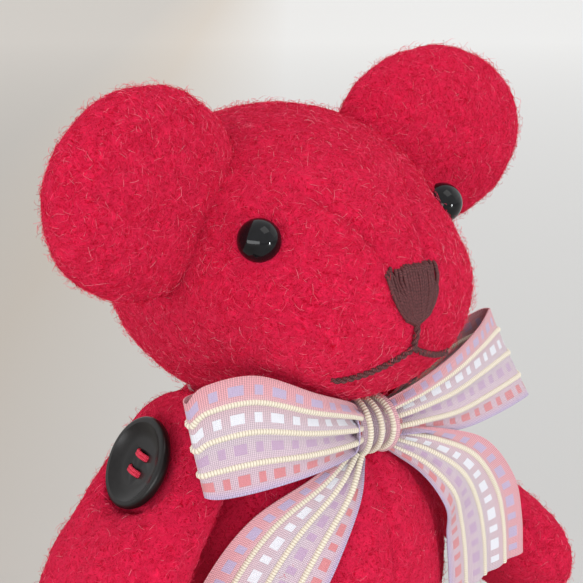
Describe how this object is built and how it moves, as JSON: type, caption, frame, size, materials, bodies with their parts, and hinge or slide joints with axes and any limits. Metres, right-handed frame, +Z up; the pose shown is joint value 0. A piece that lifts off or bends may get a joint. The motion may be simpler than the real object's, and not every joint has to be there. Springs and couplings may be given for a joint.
{
  "type": "jointed teddy bear",
  "caption": "Thread-jointed felt teddy bear with button shoulders and hips, bead eyes, stitched nose and mouth, and a wide ribbon tied in a bow at the neck.",
  "frame": {"origin": "on the floor under the middle of the standing bear", "axes": "+Z up; the bear faces -Y; its own left side is +X"},
  "size_m": [0.1624, 0.0846, 0.2041],
  "materials": {
    "felt": "fibrous",
    "wadding": "matte",
    "black_plastic": "glossy",
    "thread": "matte",
    "ribbon": "satin",
    "washer_plastic": "matte",
    "floss": "satin",
    "steel": "satin",
    "board": "matte"
  },
  "bodies": {
    "torso": {"neck_disc_lower": "board", "neck_washer": "steel", "body_side_left": "felt", "body_side_right": "felt", "body_stuffing": "wadding", "shoulder_thread": "thread", "hip_thread": "thread", "ribbon_collar": "ribbon", "bow_knot": "ribbon", "bow_loop_left": "ribbon", "bow_loop_right": "ribbon", "bow_tail_left": "ribbon", "bow_tail_right": "ribbon"},
    "head": {"head_side_left": "felt", "head_side_right": "felt", "head_gusset": "felt", "head_stuffing": "wadding", "ear_left": "felt", "ear_right": "felt", "ear_left_wadding": "wadding", "ear_right_wadding": "wadding", "eye_left": "black_plastic", "eye_right": "black_plastic", "eye_washers": "washer_plastic", "nose_embroidery": "floss", "mouth_embroidery": "floss", "neck_pin": "steel", "neck_disc_upper": "board"},
    "arm_left": {"arm_left_outer": "felt", "arm_left_inner": "felt", "arm_left_stuffing": "wadding", "arm_left_button": "black_plastic", "arm_left_stitch": "thread"},
    "arm_right": {"arm_right_outer": "felt", "arm_right_inner": "felt", "arm_right_stuffing": "wadding", "arm_right_button": "black_plastic", "arm_right_stitch": "thread"},
    "leg_left": {"leg_left_outer": "felt", "leg_left_inner": "felt", "leg_left_sole": "felt", "leg_left_stuffing": "wadding", "leg_left_button": "black_plastic", "leg_left_stitch": "thread"},
    "leg_right": {"leg_right_outer": "felt", "leg_right_inner": "felt", "leg_right_sole": "felt", "leg_right_stuffing": "wadding", "leg_right_button": "black_plastic", "leg_right_stitch": "thread"}
  },
  "joints": [
    {"name": "neck_swivel", "type": "hinge", "parent": "torso", "child": "head", "pos_m": [0, 0.006, 0.128], "axis": [0, 0, 1], "range_deg": [-33, 33]},
    {"name": "shoulder_left", "type": "hinge", "parent": "torso", "child": "arm_left", "pos_m": [0.0299, -0.0023, 0.1127], "axis": [-0.8704, 0, -0.4924], "range_deg": [-90, 78], "deforming": ["bow_loop_left", "bow_tail_left"]},
    {"name": "shoulder_right", "type": "hinge", "parent": "torso", "child": "arm_right", "pos_m": [-0.0299, -0.0023, 0.1127], "axis": [-0.8704, 0, 0.4924], "range_deg": [-90, 84], "deforming": ["bow_loop_right"]},
    {"name": "hip_left", "type": "hinge", "parent": "torso", "child": "leg_left", "pos_m": [0.027, 0.002, 0.054], "axis": [-0.9903, 0, 0.1392], "range_deg": [-45, 90]},
    {"name": "hip_right", "type": "hinge", "parent": "torso", "child": "leg_right", "pos_m": [-0.027, 0.002, 0.054], "axis": [-0.9903, 0, -0.1392], "range_deg": [-45, 90]}
  ]
}
